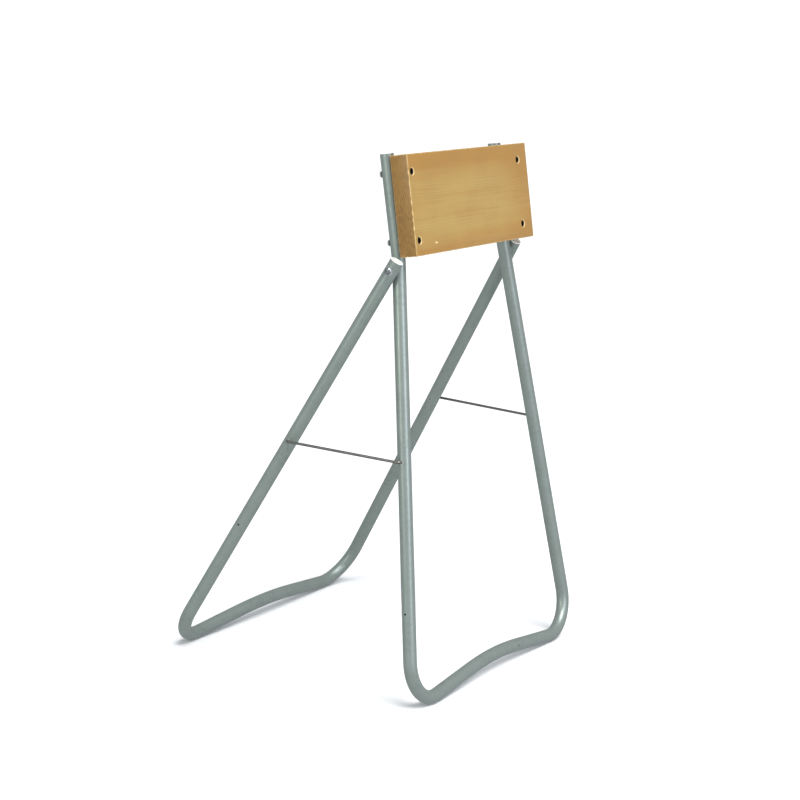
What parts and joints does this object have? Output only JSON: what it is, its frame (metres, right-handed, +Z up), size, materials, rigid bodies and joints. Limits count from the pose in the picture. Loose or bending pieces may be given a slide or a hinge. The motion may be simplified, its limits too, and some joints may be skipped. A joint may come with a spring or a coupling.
{
  "type": "folding outboard motor stand",
  "caption": "Folding stand of two bent steel tube frames crossed at a pivot, held by wire stays, with a thick wooden board across the top for an outboard motor.",
  "frame": {"origin": "floor under the middle of the stand", "axes": "+X to the right, +Y from the board towards the rear feet, +Z up"},
  "size_m": [0.6324, 0.5604, 0.9795],
  "materials": {
    "grey_steel": "matt silver grey coated steel tube",
    "varnished_beech": "clear varnished light hardwood",
    "black_steel": "black oxide",
    "zinc_steel": "bright zinc plate",
    "white_nylon": "moulded, satin"
  },
  "bodies": {
    "front_body": {"front_frame": "grey_steel", "motor_board": "varnished_beech", "board_screw_lower_left": "black_steel", "board_washer_lower_left": "zinc_steel", "board_nut_lower_left": "zinc_steel", "board_screw_upper_left": "black_steel", "board_washer_upper_left": "zinc_steel", "board_nut_upper_left": "zinc_steel", "pivot_bolt_left": "zinc_steel", "pivot_washer_left": "white_nylon", "pivot_nut_left": "zinc_steel", "post_plug_left": "white_nylon", "board_screw_lower_right": "black_steel", "board_washer_lower_right": "zinc_steel", "board_nut_lower_right": "zinc_steel", "board_screw_upper_right": "black_steel", "board_washer_upper_right": "zinc_steel", "board_nut_upper_right": "zinc_steel", "pivot_bolt_right": "zinc_steel", "pivot_washer_right": "white_nylon", "pivot_nut_right": "zinc_steel", "post_plug_right": "white_nylon"},
    "rear_body": {"rear_frame": "grey_steel", "leg_plug_left": "white_nylon", "leg_plug_right": "white_nylon"},
    "stay_left_body": {"stay_left": "zinc_steel"},
    "stay_right_body": {"stay_right": "zinc_steel"}
  },
  "joints": [
    {"name": "fold", "type": "hinge", "parent": "front_body", "child": "rear_body", "pos_m": [0, -0.11594, 0.772], "axis": [-1, 0, 0], "range_deg": [0, 28]},
    {"name": "stay_left_swing", "type": "hinge", "parent": "rear_body", "child": "stay_left_body", "pos_m": [0, 0.05227, 0.439], "axis": [-1, 0, 0], "range_deg": [0, 58]},
    {"name": "stay_right_swing", "type": "hinge", "parent": "rear_body", "child": "stay_right_body", "pos_m": [0, 0.05227, 0.439], "axis": [-1, 0, 0], "range_deg": [0, 58]}
  ],
  "couplings": [
    {"joint": "stay_left_swing", "follows": "fold", "ratio": 2.05},
    {"joint": "stay_right_swing", "follows": "fold", "ratio": 2.05}
  ]
}
